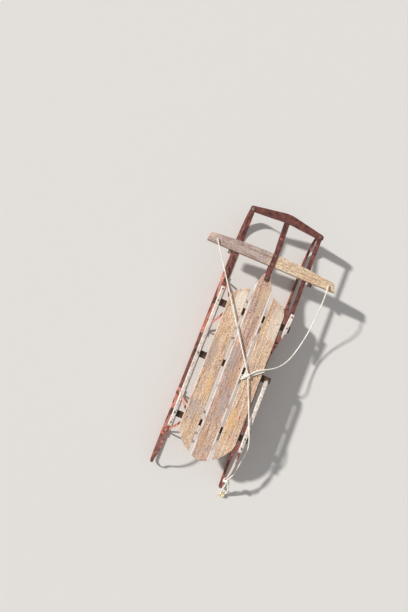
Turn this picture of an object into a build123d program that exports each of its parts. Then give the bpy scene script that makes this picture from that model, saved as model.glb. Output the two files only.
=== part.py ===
from build123d import *
import math
import os

os.makedirs("parts", exist_ok=True)

# A child's steerable runner sled, in millimetres: +Y forward, +X to the rider's right, +Z up.
# The origin is on the floor, midway between the bumper's nose and the rear curls.
# Wood: three deck boards and two rails on three benches, and a steering bar ahead of them.
# Steel: two runners, four knees, side straps and a bumper, and the strap and plate that hold the bar.
# The bar turns with its strap and plate about the bolt in the centre board's nose.
# One rail is broken, and a rope is tied from the bar's ends to the deck and the right runner.

SIDES = {"left": -1, "right": 1}

# Places along and across the sled
NOSE_Y = 602.0  # front edge of the bumper
CURL_Y = -602.0  # rearmost point of the runners' rear curls
PIVOT_Y = 301.0  # the steering bolt, in the centre board's nose
TRACK_X = 160.0  # runners, side straps, rails and corner bolts, each side of the middle
DECK_BASE = 148.0  # tops of the benches and of the side straps

# Flat steel and the holes in it
STRAP_T = 3.0
HOLE_PLAY = 0.1  # added to a bolt's radius in each hole that it passes
SLIDE_GAP = 0.5  # between the steering assembly and what it slides over or under

# Deck boards
BOARD_T = 12.0
CENTRE_BOARD_W = 82.0
SIDE_BOARD_W = 73.5
BOARD_GAP = 11.5
DECK_X = 4.5  # the boards' middle, to the right of the sled's
CENTRE_REAR_Y = -518.0
CENTRE_REAR_CORNER_Y = -504.0
SIDE_REAR_INNER_Y = -498.0
SIDE_REAR_OUTER_Y = -411.0
SIDE_REAR_BULGE = 11.0  # of the rounded rear end beyond its chord
SIDE_FRONT_Y = 234.0
SIDE_FRONT_DROP = 31.0  # of the slanted front edge, over the board's width
SIDE_FRONT_R = {"left": 68.0, "right": 50.0}
NOSE_R = 21.0
NOSE_TAPER = 56.0  # length over which the centre board narrows to its nose
BOARD_EDGE_R = 2.0

# Benches, from front to rear
BENCH_Y = {"front": 133.0, "middle": -103.0, "rear": -370.0}
BENCH_W = 28.0
BENCH_T = 24.0
BENCH_OVERHANG = 8.0  # beyond the rail's outer face
BENCH_EDGE_R = 3.0

# Side rails; the right one is broken between its front and middle benches
RAIL_W = 16.0
RAIL_T = 12.0
RAIL_EDGE_R = 3.0
RAIL_AHEAD = 66.0  # of the front bench
RAIL_BEHIND = 59.0  # the rear bench
STUB_BEHIND = 49.0  # the front bench, to the longest splinter's tip
STUB_SPLINTER = 36.0  # length of the splintered end
STUB_TWIST = 4.5  # degrees that the stub has swung inward on its bench

# Runners: a flange on a web
RUNNER_DEPTH = 21.0
WEB_T = 5.0
FLANGE_W = 11.0
FLANGE_T = 4.0
WEB_SETBACK = 39.0  # from the curl's rearmost point to the web's rear end
LOW_BEND_R = 180.0
LOW_BEND_TURN = 40.0
HIGH_BEND_R = 75.0
TOP_BEND_R = 6.0
TAB_FRONT = 19.0  # from the corner bolt forward to the runner's riser
TAB_REAR = 12.0

# Rear curls
CURL_HOOK_R = 18.0
CURL_HOOK_TURN = 60.0
CURL_NECK_R = 40.0
CURL_NECK_TURN = 30.0
CURL_LAP = 34.0  # under the rail's rear end
CURL_W = 10.0

# Bumper, in plan, with depths back from its nose
CORNER_SETBACK = 43.0  # the corner bolts
BUMPER_CORNER_R = 14.0
BUMPER_NOSE_X = 24.0  # where the straight arms meet the rounded nose
BUMPER_NOSE_SETBACK = 2.0
BUMPER_INNER_X = 60.0  # where the inner edge's straight arms meet its hollow
BUMPER_INNER_DEPTH = 46.0
BUMPER_MID_DEPTH = 42.0
BUMPER_BACK = 11.0  # from the corner bolt to the corner's rear edge

# Straps
SIDE_STRAP_W = 19.0
SIDE_STRAP_END = 13.0  # beyond the corner bolt
SIDE_STRAP_LAP = 32.0  # under the rail's front end
CENTRE_STRAP_W = 25.0
CENTRE_STRAP_TAIL_W = 22.0
CENTRE_STRAP_TUCK = 27.0  # under the bumper
CENTRE_STRAP_TAIL = 16.0  # behind the steering bolt, to the strap's round end
STRAP_BEND_R = 8.0
YOKE_TAIL = 12.0  # behind the steering bolt
YOKE_LEAD = 10.0  # ahead of the front rivet

# Steering bar: its rear edge is straight and its front edge is an arc
BAR_SETOUT = 54.0  # from the steering bolt forward to the bar's rear edge
BAR_HALF_SPAN = 300.0
BAR_END_SLANT = 13.0  # of the right end, whose rear corner runs out to a point
BAR_POINT_R = 2.0
BAR_T = 18.0
BAR_MID_DEPTH = 57.0
BAR_END_DEPTH = 38.0
BAR_FRONT_CORNER_R = 14.0
BAR_REAR_CORNER_R = 9.0
BAR_EDGE_R = 3.0
ROPE_HOLE_INSET = 38.0  # from the bar's end
ROPE_HOLE_SETOUT = 20.0  # from the bar's rear edge
ROPE_HOLE_R = 4.5

# Bolts and rivets: shaft radius, head radius and head height
PIVOT_R = 4.0
PIVOT_PLAY = 0.08  # running clearance, in radius
CORNER_SHAFT_R = 4.0
RIVET_SETOUTS = {"rear": 10.0, "front": 46.0}  # from the bar's rear edge
RIVET_R = 3.5
RIVET_HEAD_R = 5.5
RIVET_HEAD_H = 1.8
NUT_H = 5.0

# Guide bolts, on plates let into the bar's underside
GUIDE_OUTSET = 27.5  # from the track to each bolt
GUIDE_SETBACK = 7.0  # from the bar's rear edge
GUIDE_SHAFT_R = 3.0
GUIDE_PLATE_W = 20.0
GUIDE_PLATE_LENGTH = 42.0
GUIDE_PLATE_TAIL = 9.0  # behind the bolt
GUIDE_REACH = 24.0  # below the plate

# Knees
KNEE_SPREAD = {"front": 116.0, "rear": 82.0}  # from the bench's middle to each foot's inner end
KNEE_W = 15.0
FOOT_LENGTH = 24.0
KNEE_BEND_R = 6.0
KNEE_PLATE_HALF = 13.0
BRACE_W = 9.0
BRACE_REACH = 60.0  # from the track to where the inner braces meet the bench
BRACE_Y = 7.0
BRACE_FLAT = 6.0
BRACE_FOOT_INSET = 5.0  # from the track to each inner brace's foot

# Rope
ROPE_R = 3.0
STUB_KNOT_R = 8.0
KNOT_SEAT = 0.3  # between a stopper knot and the hole's rim
STUB_TOP = 1.0  # above the bar
KNOT_R = 13.0
KNOT_HALF_H = 8.7
KNOT_INSET = 17.0  # from the right board's inner edge
KNOT_BEHIND = 16.0  # the middle bench
WRAP_PLAY = 1.5
WRAP_CORNER_R = 6.0
WRAP_BEHIND = 29.0  # the middle bench, where the turns pass between the boards
WRAP_AHEAD = 36.0  # of the middle bench, where they pass the right board's outer edge
WRAP_SPACING = 8.0  # from one turn to the next, along the sled
CURL_KNOT = (160.0, -562.0, 91.0)
CURL_KNOT_R = 12.0
CURL_KNOT_HALF_H = 10.0
TASSEL = (187.0, -627.0, 10.5)
TASSEL_R = 16.0
TASSEL_HALF_H = 10.0

# Places and heights worked out from the above
CORNER_Y = NOSE_Y - CORNER_SETBACK
BUMPER_ARM_Y = NOSE_Y - BUMPER_NOSE_SETBACK
BUMPER_INNER_ARM_Y = NOSE_Y - BUMPER_INNER_DEPTH
BUMPER_INNER_MID_Y = NOSE_Y - BUMPER_MID_DEPTH
RAIL_FRONT_Y = BENCH_Y["front"] + RAIL_AHEAD
RAIL_REAR_Y = BENCH_Y["rear"] - RAIL_BEHIND
WEB_REAR_Y = CURL_Y + WEB_SETBACK
BROKEN_START_Y = BENCH_Y["middle"] - BENCH_W / 4
BAR_REAR_Y = PIVOT_Y + BAR_SETOUT
BAR_FRONT_Y = BAR_REAR_Y + BAR_MID_DEPTH
ROPE_HOLE_X = BAR_HALF_SPAN - ROPE_HOLE_INSET
ROPE_HOLE_Y = BAR_REAR_Y + ROPE_HOLE_SETOUT
GUIDE_X = TRACK_X + GUIDE_OUTSET
GUIDE_Y = BAR_REAR_Y - GUIDE_SETBACK
DECK_TOP = DECK_BASE + BOARD_T
BENCH_BASE = DECK_BASE - BENCH_T
STRAP_BASE = DECK_BASE - STRAP_T
YOKE_BASE = STRAP_BASE - SLIDE_GAP
BAR_BASE = DECK_BASE + SLIDE_GAP
BAR_TOP = BAR_BASE + BAR_T
OVER_BAR = BAR_TOP + STRAP_T / 2  # middle of the centre strap over the bar
TAIL_MID = DECK_TOP + SLIDE_GAP + STRAP_T / 2  # middle of the centre strap over the deck
FLANGE_MID = RUNNER_DEPTH - FLANGE_T / 2
TAB_MID = STRAP_BASE - FLANGE_T / 2
BENCH_HALF = TRACK_X + RAIL_W / 2 + BENCH_OVERHANG
SIDE_INNER = CENTRE_BOARD_W / 2 + BOARD_GAP  # from the boards' middle
SIDE_OUTER = SIDE_INNER + SIDE_BOARD_W
KNOT = (DECK_X + SIDE_INNER + KNOT_INSET, BENCH_Y["middle"] - KNOT_BEHIND)


def keep(piece, name):
    """Label a finished piece and write it to a file of its own."""
    piece.part.label = name
    export_step(piece.part, f"parts/{name}.step")


def make_centre_board():
    """The middle deck board, with a rounded rear end and a nose for the centre straps."""
    left = DECK_X - CENTRE_BOARD_W / 2
    right = DECK_X + CENTRE_BOARD_W / 2
    taper_y = PIVOT_Y - NOSE_TAPER
    with BuildPart() as board:
        with BuildSketch(Plane.XY.offset(DECK_BASE)):
            with BuildLine():
                Polyline((right, CENTRE_REAR_CORNER_Y), (right, taper_y), (NOSE_R, PIVOT_Y))
                ThreePointArc((NOSE_R, PIVOT_Y), (0, PIVOT_Y + NOSE_R), (-NOSE_R, PIVOT_Y))
                Polyline((-NOSE_R, PIVOT_Y), (left, taper_y), (left, CENTRE_REAR_CORNER_Y))
                ThreePointArc(
                    (left, CENTRE_REAR_CORNER_Y),
                    (DECK_X, CENTRE_REAR_Y),
                    (right, CENTRE_REAR_CORNER_Y),
                )
            make_face()
            with Locations((0, PIVOT_Y)):
                Circle(PIVOT_R + HOLE_PLAY, mode=Mode.SUBTRACT)
        extrude(amount=BOARD_T)
        fillet(board.faces().sort_by(Axis.Z)[-1].outer_wire().edges(), BOARD_EDGE_R)
    return board


def make_side_board(side, corner_r):
    """An outer deck board: a slanted, rounded front corner and a rounded rear end."""
    inner = DECK_X + side * SIDE_INNER
    outer = DECK_X + side * SIDE_OUTER
    chord = Vector(SIDE_BOARD_W, SIDE_REAR_OUTER_Y - SIDE_REAR_INNER_Y).normalized()
    middle_x = DECK_X + side * ((SIDE_INNER + SIDE_OUTER) / 2 + SIDE_REAR_BULGE * chord.Y)
    middle_y = (SIDE_REAR_INNER_Y + SIDE_REAR_OUTER_Y) / 2 - SIDE_REAR_BULGE * chord.X
    with BuildPart() as board:
        with BuildSketch(Plane.XY.offset(DECK_BASE)) as outline:
            with BuildLine():
                Polyline(
                    (outer, SIDE_REAR_OUTER_Y),
                    (outer, SIDE_FRONT_Y - SIDE_FRONT_DROP),
                    (inner, SIDE_FRONT_Y),
                    (inner, SIDE_REAR_INNER_Y),
                )
                ThreePointArc(
                    (inner, SIDE_REAR_INNER_Y),
                    (middle_x, middle_y),
                    (outer, SIDE_REAR_OUTER_Y),
                )
            make_face()
            front_corner = outline.vertices().group_by(Axis.Y)[-2]
            fillet(front_corner, corner_r)
        extrude(amount=BOARD_T)
        fillet(board.faces().sort_by(Axis.Z)[-1].outer_wire().edges(), BOARD_EDGE_R)
    return board


def make_bench(place):
    """A cross bar under the deck, which the boards, rails and knees are fixed to."""
    with BuildPart() as bench:
        with BuildSketch(Plane.XY.offset(BENCH_BASE)):
            with Locations((0, BENCH_Y[place])):
                Rectangle(2 * BENCH_HALF, BENCH_W)
        extrude(amount=BENCH_T)
        fillet(bench.edges().filter_by(Axis.Z), BENCH_EDGE_R)
    return bench


def make_rail(side, front_y, rear_y):
    """A straight stretch of side rail with softened upper edges."""
    with BuildPart() as rail:
        with BuildSketch(Plane.XY.offset(DECK_BASE)):
            with Locations((side * TRACK_X, (front_y + rear_y) / 2)):
                Rectangle(RAIL_W, front_y - rear_y)
        extrude(amount=RAIL_T)
        fillet(rail.faces().sort_by(Axis.Z)[-1].edges(), RAIL_EDGE_R)
    return rail


def make_splintered_stub(side):
    """The front end of the broken rail, which ends in long splinters and has swung on its bench."""
    edge = RAIL_W / 2
    twist = math.radians(side * STUB_TWIST)
    bench_spot = (side * TRACK_X, BENCH_Y["front"], DECK_BASE)
    # Splinter points: share of the rail's half width, share of the splinters' length
    splinters = [
        (1, 1.0),
        (0.55, 0.62),
        (0.3, 0.72),
        (-0.05, 0.0),
        (-0.4, 0.4),
        (-0.6, 0.22),
        (-1, 0.8),
    ]
    with BuildPart() as rail:
        with BuildSketch(Plane(bench_spot, x_dir=(math.cos(twist), -math.sin(twist), 0))):
            with BuildLine():
                jagged = [
                    (side * across * edge, along * STUB_SPLINTER - STUB_BEHIND)
                    for across, along in splinters
                ]
                Polyline(*jagged, (-side * edge, RAIL_AHEAD), (side * edge, RAIL_AHEAD), close=True)
            make_face()
        extrude(amount=RAIL_T)
        top_edges = rail.faces().sort_by(Axis.Z)[-1].edges()
        fillet(top_edges.sort_by(SortBy.LENGTH)[-2:], RAIL_EDGE_R)
    return rail


def make_runner(side):
    """A runner: a web that meets the floor, and a flange that bends up and back at the front."""
    x = side * TRACK_X
    turn = math.radians(LOW_BEND_TURN)
    riser_y = CORNER_Y + TAB_FRONT - FLANGE_T / 2
    lift_y = riser_y - LOW_BEND_R * math.sin(turn) - HIGH_BEND_R * (1 - math.sin(turn))
    low_end = (lift_y + LOW_BEND_R * math.sin(turn), FLANGE_MID + LOW_BEND_R * (1 - math.cos(turn)))
    high_end = (riser_y, low_end[1] + HIGH_BEND_R * math.cos(turn))
    depth = FLANGE_MID
    web_low_end = (low_end[0] + depth * math.sin(turn), low_end[1] - depth * math.cos(turn))
    web_front = riser_y + FLANGE_T / 2
    web_corner_z = web_low_end[1] + (web_front - web_low_end[0]) / math.tan((math.pi / 2 - turn) / 2)
    tangent = (math.cos(turn), math.sin(turn))
    with BuildPart() as runner:
        with BuildSketch(Plane.YZ.offset(x - FLANGE_W / 2)):
            with BuildLine():
                Line((WEB_REAR_Y, FLANGE_MID), (lift_y, FLANGE_MID))
                JernArc((lift_y, FLANGE_MID), (1, 0), LOW_BEND_R, LOW_BEND_TURN)
                JernArc(low_end, tangent, HIGH_BEND_R, 90 - LOW_BEND_TURN)
                Line(high_end, (riser_y, TAB_MID - TOP_BEND_R))
                JernArc((riser_y, TAB_MID - TOP_BEND_R), (0, 1), TOP_BEND_R, 90)
                Line((riser_y - TOP_BEND_R, TAB_MID), (CORNER_Y - TAB_REAR, TAB_MID))
            trace(line_width=FLANGE_T)
        extrude(amount=FLANGE_W)
        with BuildSketch(Plane.YZ.offset(x - WEB_T / 2)):
            with BuildLine():
                Line((lift_y, FLANGE_MID), (WEB_REAR_Y, FLANGE_MID))
                Line((WEB_REAR_Y, FLANGE_MID), (WEB_REAR_Y, 0))
                Line((WEB_REAR_Y, 0), (lift_y, 0))
                JernArc((lift_y, 0), (1, 0), LOW_BEND_R + depth, LOW_BEND_TURN)
                TangentArc(web_low_end, (web_front, web_corner_z), tangent=tangent)
                Line((web_front, web_corner_z), (web_front, high_end[1]))
                Line((web_front, high_end[1]), high_end)
                RadiusArc(high_end, low_end, HIGH_BEND_R)
                RadiusArc(low_end, (lift_y, FLANGE_MID), LOW_BEND_R)
            make_face()
        extrude(amount=WEB_T)
        with BuildSketch(Plane.XY.offset(TAB_MID - FLANGE_T / 2)):
            with Locations((x, CORNER_Y)):
                Circle(CORNER_SHAFT_R + HOLE_PLAY)
        extrude(amount=FLANGE_T, mode=Mode.SUBTRACT)
    return runner


def make_rear_curl(side):
    """The flange's rear end, bent up in a hook and forward to the rail's rear end."""
    x = side * TRACK_X
    rise_y = CURL_Y + FLANGE_T / 2
    hook_z = FLANGE_MID + CURL_HOOK_R
    top_z = DECK_BASE - FLANGE_T / 2
    lean = math.radians(90 - CURL_HOOK_TURN)
    steep = math.radians(90 - CURL_HOOK_TURN + CURL_NECK_TURN)
    hook_start = (rise_y + CURL_HOOK_R, FLANGE_MID)
    hook_side = (rise_y, hook_z)
    hook_end = (rise_y + CURL_HOOK_R * (1 - math.sin(lean)), hook_z + CURL_HOOK_R * math.cos(lean))
    neck_end = (
        hook_end[0] + CURL_NECK_R * (math.sin(steep) - math.sin(lean)),
        hook_end[1] + CURL_NECK_R * (math.cos(lean) - math.cos(steep)),
    )
    sweep_r = (top_z - neck_end[1]) / (1 - math.cos(steep))
    top_end = (neck_end[0] + sweep_r * math.sin(steep), top_z)
    with BuildPart() as curl:
        with BuildSketch(Plane.YZ.offset(x - CURL_W / 2)):
            with BuildLine():
                Line((WEB_REAR_Y, FLANGE_MID), hook_start)
                JernArc(hook_start, (-1, 0), CURL_HOOK_R, -90)
                JernArc(hook_side, (0, 1), CURL_HOOK_R, -CURL_HOOK_TURN)
                JernArc(hook_end, (math.cos(lean), math.sin(lean)), CURL_NECK_R, CURL_NECK_TURN)
                JernArc(neck_end, (math.cos(steep), math.sin(steep)), sweep_r, -math.degrees(steep))
                Line(top_end, (RAIL_REAR_Y + CURL_LAP, top_z))
            trace(line_width=FLANGE_T)
        extrude(amount=CURL_W)
    return curl


def make_side_strap(side):
    """The flat strap from the bumper's corner back to the rail's front end."""
    x = side * TRACK_X
    front = CORNER_Y + SIDE_STRAP_END
    rear = RAIL_FRONT_Y - SIDE_STRAP_LAP
    with BuildPart() as strap:
        with BuildSketch(Plane.XY.offset(STRAP_BASE)) as outline:
            with Locations((x, (front + rear) / 2)):
                Rectangle(SIDE_STRAP_W, front - rear)
            fillet(outline.vertices(), SIDE_STRAP_W * 0.4)
            with Locations((x, CORNER_Y)):
                Circle(CORNER_SHAFT_R + HOLE_PLAY, mode=Mode.SUBTRACT)
        extrude(amount=STRAP_T)
    return strap


def make_bumper():
    """The front cross strap: two arms that meet in a rounded nose, with rounded corners."""
    end_x = TRACK_X + BUMPER_CORNER_R
    rear_y = CORNER_Y - BUMPER_BACK
    with BuildPart() as bumper:
        with BuildSketch(Plane.XY.offset(DECK_BASE)) as outline:
            with BuildLine():
                Polyline(
                    (-BUMPER_INNER_X, BUMPER_INNER_ARM_Y),
                    (-end_x, rear_y),
                    (-end_x, CORNER_Y + BUMPER_CORNER_R),
                    (-BUMPER_NOSE_X, BUMPER_ARM_Y),
                )
                ThreePointArc((-BUMPER_NOSE_X, BUMPER_ARM_Y), (0, NOSE_Y), (BUMPER_NOSE_X, BUMPER_ARM_Y))
                Polyline(
                    (BUMPER_NOSE_X, BUMPER_ARM_Y),
                    (end_x, CORNER_Y + BUMPER_CORNER_R),
                    (end_x, rear_y),
                    (BUMPER_INNER_X, BUMPER_INNER_ARM_Y),
                )
                ThreePointArc(
                    (BUMPER_INNER_X, BUMPER_INNER_ARM_Y),
                    (0, BUMPER_INNER_MID_Y),
                    (-BUMPER_INNER_X, BUMPER_INNER_ARM_Y),
                )
            make_face()
            ends = outline.vertices().group_by(Axis.X)
            fillet(ends[0] + ends[-1], BUMPER_CORNER_R * 0.8)
            with Locations((-TRACK_X, CORNER_Y), (TRACK_X, CORNER_Y)):
                Circle(CORNER_SHAFT_R + HOLE_PLAY, mode=Mode.SUBTRACT)
        extrude(amount=STRAP_T)
    return bumper


def make_centre_strap():
    """The strap from under the bumper, up over the steering bar and down to the deck's nose."""
    under_bumper = YOKE_BASE + STRAP_T / 2
    tuck_y = BUMPER_INNER_MID_Y + CENTRE_STRAP_TUCK
    rise_y = BUMPER_INNER_MID_Y - CENTRE_STRAP_W / 2
    end_y = PIVOT_Y - CENTRE_STRAP_TAIL
    narrow_y = BAR_FRONT_Y + STRAP_BEND_R
    half = CENTRE_STRAP_W / 2
    tail_half = CENTRE_STRAP_TAIL_W / 2
    with BuildPart() as strap:
        with BuildSketch(Plane.YZ.offset(-half)):
            with BuildLine():
                FilletPolyline(
                    (tuck_y, under_bumper),
                    (rise_y, under_bumper),
                    (BAR_FRONT_Y + 3 * STRAP_BEND_R, OVER_BAR),
                    (BAR_REAR_Y, OVER_BAR),
                    (BAR_REAR_Y - 2 * STRAP_BEND_R, TAIL_MID),
                    (end_y, TAIL_MID),
                    radius=STRAP_BEND_R,
                )
            trace(line_width=STRAP_T)
        extrude(amount=CENTRE_STRAP_W)
        with BuildSketch(Plane.XY.offset(YOKE_BASE - STRAP_T)):
            with BuildLine():
                Polyline(
                    (tail_half, end_y + tail_half),
                    (tail_half, narrow_y),
                    (half, narrow_y + 3 * STRAP_BEND_R),
                    (half, tuck_y),
                    (-half, tuck_y),
                    (-half, narrow_y + 3 * STRAP_BEND_R),
                    (-tail_half, narrow_y),
                    (-tail_half, end_y + tail_half),
                )
                ThreePointArc(
                    (-tail_half, end_y + tail_half),
                    (0, end_y),
                    (tail_half, end_y + tail_half),
                )
            make_face()
            with Locations((0, PIVOT_Y)):
                Circle(PIVOT_R + PIVOT_PLAY, mode=Mode.SUBTRACT)
            with Locations(*[(0, BAR_REAR_Y + setout) for setout in RIVET_SETOUTS.values()]):
                Circle(RIVET_R + HOLE_PLAY, mode=Mode.SUBTRACT)
        extrude(amount=OVER_BAR - YOKE_BASE + 2 * STRAP_T, mode=Mode.INTERSECT)
    return strap


def make_yoke_plate():
    """The plate under the steering bar, from its front rivet back to the deck's nose."""
    front = BAR_REAR_Y + RIVET_SETOUTS["front"] + YOKE_LEAD
    rear = PIVOT_Y - YOKE_TAIL
    with BuildPart() as plate:
        with BuildSketch(Plane.XY.offset(YOKE_BASE)) as outline:
            with Locations((0, (front + rear) / 2)):
                Rectangle(CENTRE_STRAP_TAIL_W, front - rear)
            fillet(outline.vertices(), CENTRE_STRAP_TAIL_W * 0.4)
            with Locations((0, PIVOT_Y)):
                Circle(PIVOT_R + PIVOT_PLAY, mode=Mode.SUBTRACT)
            with Locations(*[(0, BAR_REAR_Y + setout) for setout in RIVET_SETOUTS.values()]):
                Circle(RIVET_R + HOLE_PLAY, mode=Mode.SUBTRACT)
        extrude(amount=STRAP_T)
    return plate


def make_bolt(place, shaft_r, head_base, nut_top):
    """A round-headed bolt that stands at a place, with its hexagonal nut underneath."""
    head_r = shaft_r * 2
    head_h = shaft_r * 1.1
    with BuildPart() as bolt:
        with BuildSketch(Plane.XY.offset(nut_top - NUT_H)):
            with Locations(place):
                Circle(shaft_r)
        extrude(amount=head_base - nut_top + NUT_H + head_h / 2)
        with BuildSketch(Plane.XY.offset(head_base)):
            with Locations(place):
                Circle(head_r)
        extrude(amount=head_h)
        fillet(bolt.faces().sort_by(Axis.Z)[-1].edges(), head_h * 0.8)
        with BuildSketch(Plane.XY.offset(nut_top - NUT_H)):
            with Locations(place):
                RegularPolygon(shaft_r * 1.9, 6)
        extrude(amount=NUT_H)
    return bolt


def make_bar_rivet(setout):
    """A rivet through the strap, the bar and the plate, with a washer between bar and plate."""
    top = BAR_TOP + STRAP_T
    with BuildPart() as rivet:
        with BuildSketch(Plane.XY.offset(YOKE_BASE)):
            with Locations((0, BAR_REAR_Y + setout)):
                Circle(RIVET_R)
        extrude(amount=top - YOKE_BASE)
        with BuildSketch(Plane.XY.offset(top), Plane.XY.offset(YOKE_BASE - RIVET_HEAD_H)):
            with Locations((0, BAR_REAR_Y + setout)):
                Circle(RIVET_HEAD_R)
        extrude(amount=RIVET_HEAD_H)
        fillet(rivet.faces().sort_by(Axis.Z)[-1].edges(), RIVET_HEAD_H * 0.8)
        with BuildSketch(Plane.XY.offset(YOKE_BASE + STRAP_T)):
            with Locations((0, BAR_REAR_Y + setout)):
                Circle(RIVET_HEAD_R)
        extrude(amount=BAR_BASE - YOKE_BASE - STRAP_T)
    return rivet


def make_knee(place, side):
    """A steel knee: a wide outer arch and two inner braces, on feet that lie on the runner."""
    x = side * TRACK_X
    middle = BENCH_Y[place]
    spread = KNEE_SPREAD[place]
    foot_z = RUNNER_DEPTH + STRAP_T / 2
    plate_z = BENCH_BASE - STRAP_T / 2
    with BuildPart() as knee:
        with BuildSketch(Plane.YZ.offset(x - KNEE_W / 2)):
            with BuildLine():
                FilletPolyline(
                    (middle - spread - FOOT_LENGTH, foot_z),
                    (middle - spread, foot_z),
                    (middle - KNEE_PLATE_HALF, plate_z),
                    (middle + KNEE_PLATE_HALF, plate_z),
                    (middle + spread, foot_z),
                    (middle + spread + FOOT_LENGTH, foot_z),
                    radius=KNEE_BEND_R,
                )
            trace(line_width=STRAP_T)
        extrude(amount=KNEE_W)
        for end in (-1, 1):
            high = Vector(side * (TRACK_X - BRACE_REACH), middle + end * BRACE_Y, plate_z)
            foot_x = side * (TRACK_X - BRACE_FOOT_INSET)
            low = Vector(foot_x, middle + end * (spread + STRAP_T), plate_z)
            outward = (low - high).normalized()
            reach = (low - high).length
            brace_plane = Plane(origin=high, x_dir=outward, z_dir=outward.cross(Vector(0, 0, 1)))
            with BuildSketch(brace_plane.offset(-BRACE_W / 2)):
                with BuildLine():
                    Line((0, 0), (BRACE_FLAT, 0))
                    TangentArc((BRACE_FLAT, 0), (reach, foot_z - plate_z), tangent=(1, 0))
                trace(line_width=STRAP_T)
            extrude(amount=BRACE_W)
    return knee


def guide_plate(side, plane):
    """Sketch a guide bolt's plate on a plane."""
    rear = GUIDE_Y - GUIDE_PLATE_TAIL
    with BuildSketch(plane) as plate:
        with Locations((side * GUIDE_X, rear + GUIDE_PLATE_LENGTH / 2)):
            Rectangle(GUIDE_PLATE_W, GUIDE_PLATE_LENGTH)
    return plate.sketch


def make_steering_bar():
    """The wooden cross bar: deepest at its middle, with a rope hole at each end."""
    base = Plane.XY.offset(BAR_BASE)
    end_y = BAR_REAR_Y + BAR_END_DEPTH
    slant_x = BAR_HALF_SPAN - BAR_END_SLANT
    with BuildPart() as bar:
        with BuildSketch(base) as outline:
            with BuildLine():
                Polyline(
                    (-BAR_HALF_SPAN, end_y),
                    (-BAR_HALF_SPAN, BAR_REAR_Y),
                    (BAR_HALF_SPAN, BAR_REAR_Y),
                    (slant_x, end_y),
                )
                ThreePointArc((slant_x, end_y), (0, BAR_FRONT_Y), (-BAR_HALF_SPAN, end_y))
            make_face()
            rear_corners, front_corners = outline.vertices().group_by(Axis.Y)
            fillet(front_corners, BAR_FRONT_CORNER_R)
            fillet(rear_corners.sort_by(Axis.X)[0], BAR_REAR_CORNER_R)
            fillet(rear_corners.sort_by(Axis.X)[-1], BAR_POINT_R)
        extrude(amount=BAR_T)
        fillet(bar.faces().sort_by(Axis.Z)[-1].edges(), BAR_EDGE_R)
        with BuildSketch(base):
            with Locations(*[(0, BAR_REAR_Y + setout) for setout in RIVET_SETOUTS.values()]):
                Circle(RIVET_R + HOLE_PLAY)
            with Locations((-ROPE_HOLE_X, ROPE_HOLE_Y), (ROPE_HOLE_X, ROPE_HOLE_Y)):
                Circle(ROPE_HOLE_R)
        extrude(amount=BAR_T, mode=Mode.SUBTRACT)
        for side in SIDES.values():
            extrude(guide_plate(side, base), amount=STRAP_T, mode=Mode.SUBTRACT)
    return bar


def make_guide(side):
    """A plate let into the bar's underside, with a bolt that runs down outside the side strap."""
    with BuildPart() as guide:
        extrude(guide_plate(side, Plane.XY.offset(BAR_BASE)), amount=STRAP_T)
        with BuildSketch(Plane.XY.offset(BAR_BASE - GUIDE_REACH)):
            with Locations((side * GUIDE_X, GUIDE_Y)):
                Circle(GUIDE_SHAFT_R)
        extrude(amount=GUIDE_REACH + STRAP_T + NUT_H + STRAP_T / 2)
        with BuildSketch(Plane.XY.offset(BAR_BASE + STRAP_T), Plane.XY.offset(BAR_BASE - GUIDE_REACH)):
            with Locations((side * GUIDE_X, GUIDE_Y)):
                RegularPolygon(GUIDE_SHAFT_R * 1.8, 6)
        extrude(amount=NUT_H)
    return guide


def make_rope_stub(side):
    """The rope's end in the bar: a stopper knot underneath, and the rope up through the hole."""
    knot_z = BAR_BASE - KNOT_SEAT - math.sqrt(STUB_KNOT_R**2 - ROPE_HOLE_R**2)
    with BuildPart() as stub:
        with BuildSketch(Plane.XY.offset(knot_z)):
            with Locations((side * ROPE_HOLE_X, ROPE_HOLE_Y)):
                Circle(ROPE_R)
        extrude(amount=BAR_TOP + STUB_TOP - knot_z)
        with Locations((side * ROPE_HOLE_X, ROPE_HOLE_Y, knot_z)):
            Sphere(STUB_KNOT_R)
    return stub


def corner_radii(points):
    """Arc radius at each inner point: 0.45 of the shorter run over the half turn's tangent."""
    spots = [Vector(point) for point in points]
    radii = []
    for before, here, after in zip(spots, spots[1:], spots[2:]):
        turn = math.radians((here - before).get_angle(after - here))
        shorter = min((here - before).length, (after - here).length)
        radii.append(0.45 * shorter / math.tan(turn / 2))
    return radii


def make_tube(points, name):
    """A length of rope along a route of straight runs joined by tangent arcs."""
    radii = corner_radii(points)
    with BuildPart() as tube:
        with BuildLine() as route:
            if radii:
                FilletPolyline(*points, radius=radii)
            else:
                Line(*points)
        with BuildSketch(Plane(origin=route.wire() @ 0, z_dir=route.wire() % 0)):
            Circle(ROPE_R)
        sweep()
    ideal = math.pi * ROPE_R**2 * route.wire().length
    print(name, "length", round(route.wire().length, 1), "volume share", round(tube.part.volume / ideal, 4))
    print(name, "radii", [round(radius) for radius in radii])
    return tube


def make_wrap(setback):
    """One turn of rope, slantwise round the right deck board and under the middle bench."""
    play = ROPE_R + WRAP_PLAY
    inner = (DECK_X + SIDE_INNER - BOARD_GAP / 2, BENCH_Y["middle"] - WRAP_BEHIND - setback)
    outer = (DECK_X + SIDE_OUTER + play, BENCH_Y["middle"] + WRAP_AHEAD - setback)
    top = DECK_TOP + play
    bottom = BENCH_BASE - play
    with BuildPart() as wrap:
        with BuildLine() as loop:
            FilletPolyline(
                (*inner, bottom),
                (*outer, bottom),
                (*outer, top),
                (*inner, top),
                radius=WRAP_CORNER_R,
                close=True,
            )
        start = loop.edges().filter_by(GeomType.LINE).sort_by(Axis.Z)[-1]
        with BuildSketch(Plane(origin=start @ 0, z_dir=start % 0)):
            Circle(ROPE_R)
        sweep(path=loop.wire())
    return wrap


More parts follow.
